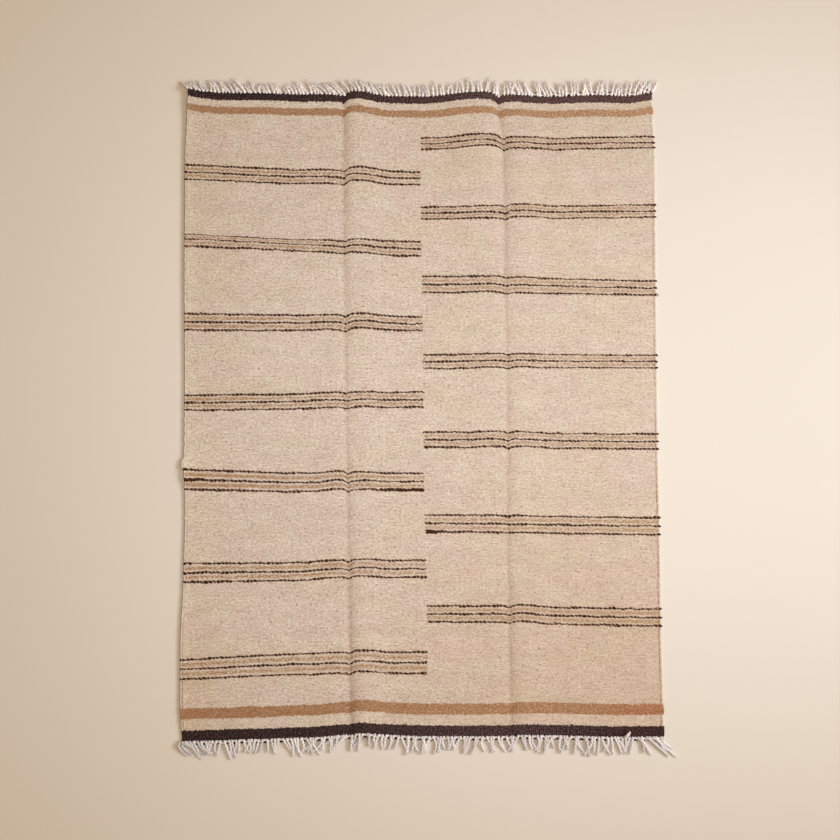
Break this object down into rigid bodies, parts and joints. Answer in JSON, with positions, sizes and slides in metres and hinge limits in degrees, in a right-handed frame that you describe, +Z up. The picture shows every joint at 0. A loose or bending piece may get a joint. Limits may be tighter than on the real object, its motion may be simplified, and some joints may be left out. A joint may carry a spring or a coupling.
{
  "type": "kilim rug",
  "caption": "Small flat-woven cream kilim with staggered groups of dark and tan weft stripes, banded ends, short warp fringe and soft lengthwise fold creases, laid flat on a floor.",
  "frame": {"origin": "on the floor, under the middle of the woven cloth", "axes": "+X across the width, +Y along the length towards the end at the picture's top, +Z up"},
  "size_m": [1.2039, 1.6585, 0.0154],
  "materials": {
    "wool_weft": "matte handspun wool in a weft-faced plain weave, cream with charcoal brown and tan stripes",
    "cotton_warp": "matte loosely twisted grey-white cotton warp yarn, frayed at its tips"
  },
  "bodies": {
    "root": {"cloth": "wool_weft", "fringe_top": "cotton_warp", "fringe_bottom": "cotton_warp"}
  },
  "joints": []
}
